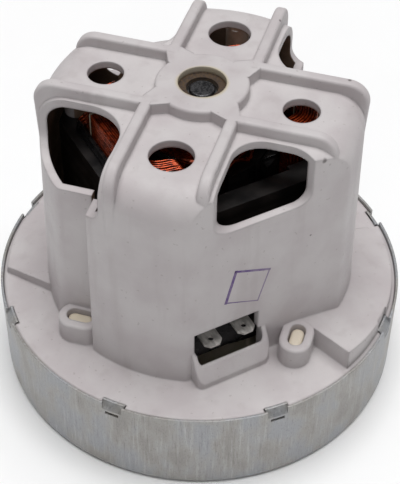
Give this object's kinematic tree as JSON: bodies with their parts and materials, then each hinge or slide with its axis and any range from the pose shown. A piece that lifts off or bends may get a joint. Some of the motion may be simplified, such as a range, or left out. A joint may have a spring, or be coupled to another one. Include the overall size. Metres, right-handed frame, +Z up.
{
  "type": "vacuum motor unit",
  "caption": "Vacuum cleaner motor unit: drawn steel fan can below a moulded housing with roof ribs, vents, blade terminals and a sprung-brush motor inside.",
  "frame": {"origin": "on the shaft axis, in the plane of the underside of the steel can", "axes": "+Z up along the shaft towards the top bearing, -Y towards the flat side with the terminals"},
  "size_m": [0.135, 0.135, 0.1105],
  "materials": {
    "housing_plastic": "matt",
    "can_steel": "satin",
    "diffuser_plastic": "matt",
    "black_plastic": "satin",
    "lamination_steel": "satin",
    "copper": "satin",
    "brass": "satin",
    "bearing_steel": "polished",
    "shaft_steel": "satin",
    "zinc_steel": "satin",
    "fibre": "matt",
    "fan_aluminium": "satin",
    "carbon": "matt",
    "spring_steel": "satin",
    "lead_sleeve": "satin",
    "tab_steel": "satin"
  },
  "bodies": {
    "frame": {"motor_housing": "housing_plastic", "fan_cover": "can_steel", "diffuser": "diffuser_plastic", "bearing_bridge": "black_plastic", "bridge_screws": "zinc_steel", "stator_core": "lamination_steel", "stator_screws": "zinc_steel", "upper_coil_frame": "black_plastic", "lower_coil_frame": "black_plastic", "terminal_block": "black_plastic", "terminal_tab_left": "tab_steel", "terminal_tab_right": "tab_steel", "felt_washer": "fibre", "holder_screws": "zinc_steel", "field_coil_right": "copper", "field_coil_left": "copper", "brush_box_right": "brass", "brush_box_left": "brass", "brush_holder_right": "black_plastic", "brush_holder_left": "black_plastic", "brush_spring_right": "spring_steel", "brush_spring_left": "spring_steel", "top_bearing_outer_ring": "bearing_steel", "low_bearing_outer_ring": "bearing_steel", "lead_terminal_left": "lead_sleeve", "lead_terminal_right": "lead_sleeve", "lead_brush_right": "lead_sleeve", "lead_brush_left": "lead_sleeve"},
    "rotor": {"shaft": "shaft_steel", "rotor_spacer": "black_plastic", "armature_core": "lamination_steel", "armature_windings": "copper", "commutator_hub": "black_plastic", "commutator_segments": "copper", "impeller_sleeve": "fan_aluminium", "impeller_back_plate": "fan_aluminium", "impeller_front_plate": "fan_aluminium", "impeller_vanes": "fan_aluminium", "impeller_clamp_washer": "zinc_steel", "impeller_nut": "zinc_steel", "top_bearing_inner_ring": "bearing_steel", "low_bearing_inner_ring": "bearing_steel"},
    "top_cage": {"top_bearing_cage": "brass", "top_bearing_balls": "bearing_steel"},
    "low_cage": {"low_bearing_cage": "brass", "low_bearing_balls": "bearing_steel"},
    "brush_right": {"carbon_brush_right": "carbon"},
    "brush_left": {"carbon_brush_left": "carbon"}
  },
  "joints": [
    {"name": "rotor_spin", "type": "hinge", "parent": "frame", "child": "rotor", "pos_m": [0, 0, 0], "axis": [0, 0, 1], "continuous": true},
    {"name": "top_cage_spin", "type": "hinge", "parent": "frame", "child": "top_cage", "pos_m": [0, 0, 0], "axis": [0, 0, 1], "continuous": true},
    {"name": "low_cage_spin", "type": "hinge", "parent": "frame", "child": "low_cage", "pos_m": [0, 0, 0], "axis": [0, 0, 1], "continuous": true},
    {"name": "brush_slide_right", "type": "slide", "parent": "frame", "child": "brush_right", "axis": [1, 0, 0], "range_m": [0, 0.004], "stiffness_N_per_m": 250, "springref_m": -0.004, "deforming": ["brush_spring_right"]},
    {"name": "brush_slide_left", "type": "slide", "parent": "frame", "child": "brush_left", "axis": [-1, 0, 0], "range_m": [0, 0.004], "stiffness_N_per_m": 250, "springref_m": -0.004, "deforming": ["brush_spring_left"]}
  ],
  "couplings": [
    {"joint": "top_cage_spin", "follows": "rotor_spin", "ratio": 0.3685},
    {"joint": "low_cage_spin", "follows": "rotor_spin", "ratio": 0.3685}
  ]
}
